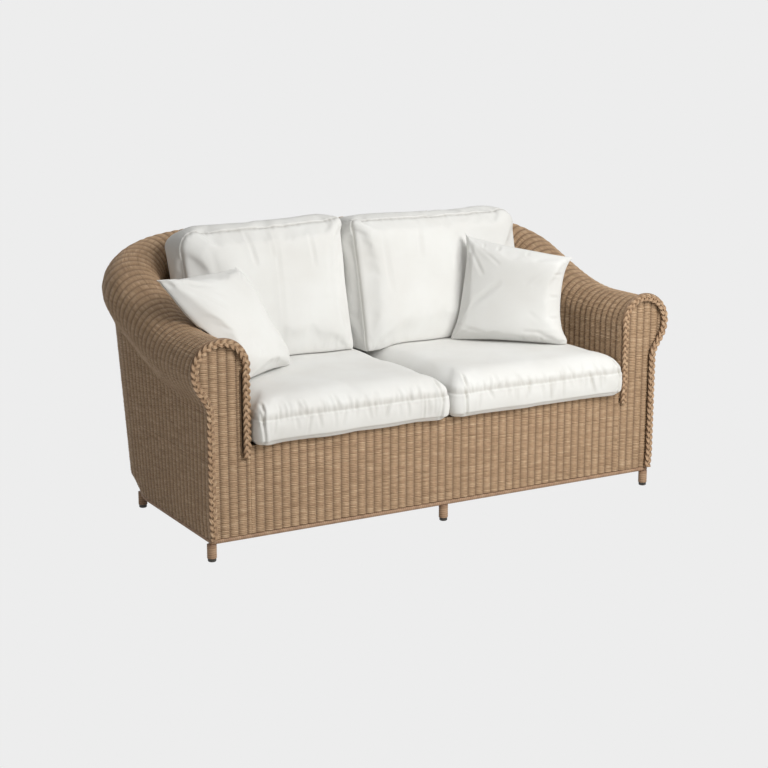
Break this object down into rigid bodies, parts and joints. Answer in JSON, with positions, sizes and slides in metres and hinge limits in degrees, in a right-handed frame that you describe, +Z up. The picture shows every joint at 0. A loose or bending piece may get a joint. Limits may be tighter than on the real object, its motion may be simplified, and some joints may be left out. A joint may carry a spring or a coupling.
{
  "type": "garden sofa",
  "caption": "Woven rattan-style garden sofa with rolled arms and a rolled, rising back on low pole feet, with loose box seat and back cushions and throw pillows.",
  "frame": {"origin": "on the floor, under the centre of the bounding box", "axes": "+X to the right of someone who looks at the front, -Y to the front, +Z up"},
  "size_m": [1.6398, 0.9112, 0.8507],
  "materials": {
    "outer_weave": "synthetic wicker in a close over-one-under-one weave, tan with darker and lighter strands",
    "deck_weave": "open flat-strap weave, hidden under the seat cushions",
    "plait": "plaited braid of lighter strands",
    "wrapped_pole": "pole wrapped in a single strand",
    "frame_tube": "powder-coated tube",
    "glide": "moulded, satin",
    "cushion_cover": "off-white plain-woven outdoor fabric with self-fabric seams"
  },
  "bodies": {
    "frame": {"woven_skin_left": "outer_weave", "woven_skin_corner_left": "outer_weave", "woven_skin_back": "outer_weave", "woven_skin_corner_right": "outer_weave", "woven_skin_right": "outer_weave", "arm_front_left": "outer_weave", "arm_front_right": "outer_weave", "front_apron": "outer_weave", "plaited_trim_left": "plait", "plaited_trim_right": "plait", "base_rail_front": "wrapped_pole", "base_rail_left": "wrapped_pole", "base_rail_corner_left": "wrapped_pole", "base_rail_back": "wrapped_pole", "base_rail_corner_right": "wrapped_pole", "base_rail_right": "wrapped_pole", "foot_front_left": "wrapped_pole", "glide_front_left": "glide", "foot_front_centre": "wrapped_pole", "glide_front_centre": "glide", "foot_front_right": "wrapped_pole", "glide_front_right": "glide", "foot_back_left": "wrapped_pole", "glide_back_left": "glide", "foot_back_centre": "wrapped_pole", "glide_back_centre": "glide", "foot_back_right": "wrapped_pole", "glide_back_right": "glide", "seat_rail_front": "frame_tube", "seat_rail_left": "frame_tube", "seat_rail_corner_left": "frame_tube", "seat_rail_back": "frame_tube", "seat_rail_corner_right": "frame_tube", "seat_rail_right": "frame_tube", "seat_slat_1": "frame_tube", "seat_slat_2": "frame_tube", "seat_slat_3": "frame_tube", "seat_slat_4": "frame_tube", "front_post": "frame_tube", "hoop_front_left": "frame_tube", "hoop_arm_left": "frame_tube", "hoop_corner_left": "frame_tube", "hoop_back_left": "frame_tube", "hoop_back_centre": "frame_tube", "hoop_back_right": "frame_tube", "hoop_corner_right": "frame_tube", "hoop_arm_right": "frame_tube", "hoop_front_right": "frame_tube", "top_rail_left": "frame_tube", "top_rail_corner_left": "frame_tube", "top_rail_back": "frame_tube", "top_rail_corner_right": "frame_tube", "top_rail_right": "frame_tube", "seat_deck": "deck_weave"},
    "seat_cushion_left_body": {"seat_cushion_left": "cushion_cover"},
    "seat_cushion_right_body": {"seat_cushion_right": "cushion_cover"},
    "back_cushion_left_body": {"back_cushion_left": "cushion_cover"},
    "back_cushion_right_body": {"back_cushion_right": "cushion_cover"},
    "throw_pillow_left_body": {"throw_pillow_left": "cushion_cover"},
    "throw_pillow_right_body": {"throw_pillow_right": "cushion_cover"}
  },
  "joints": [
    {"name": "seat_cushion_left_draw", "type": "slide", "parent": "frame", "child": "seat_cushion_left_body", "axis": [0, -1, 0], "range_m": [0, 0.75]},
    {"name": "back_cushion_left_lift", "type": "slide", "parent": "seat_cushion_left_body", "child": "back_cushion_left_body", "axis": [0, 0, 1], "range_m": [0, 0.5]},
    {"name": "throw_pillow_left_lift", "type": "slide", "parent": "back_cushion_left_body", "child": "throw_pillow_left_body", "axis": [0, 0, 1], "range_m": [0, 0.45]},
    {"name": "seat_cushion_right_draw", "type": "slide", "parent": "frame", "child": "seat_cushion_right_body", "axis": [0, -1, 0], "range_m": [0, 0.75]},
    {"name": "back_cushion_right_lift", "type": "slide", "parent": "seat_cushion_right_body", "child": "back_cushion_right_body", "axis": [0, 0, 1], "range_m": [0, 0.5]},
    {"name": "throw_pillow_right_lift", "type": "slide", "parent": "back_cushion_right_body", "child": "throw_pillow_right_body", "axis": [0, 0, 1], "range_m": [0, 0.45]}
  ]
}
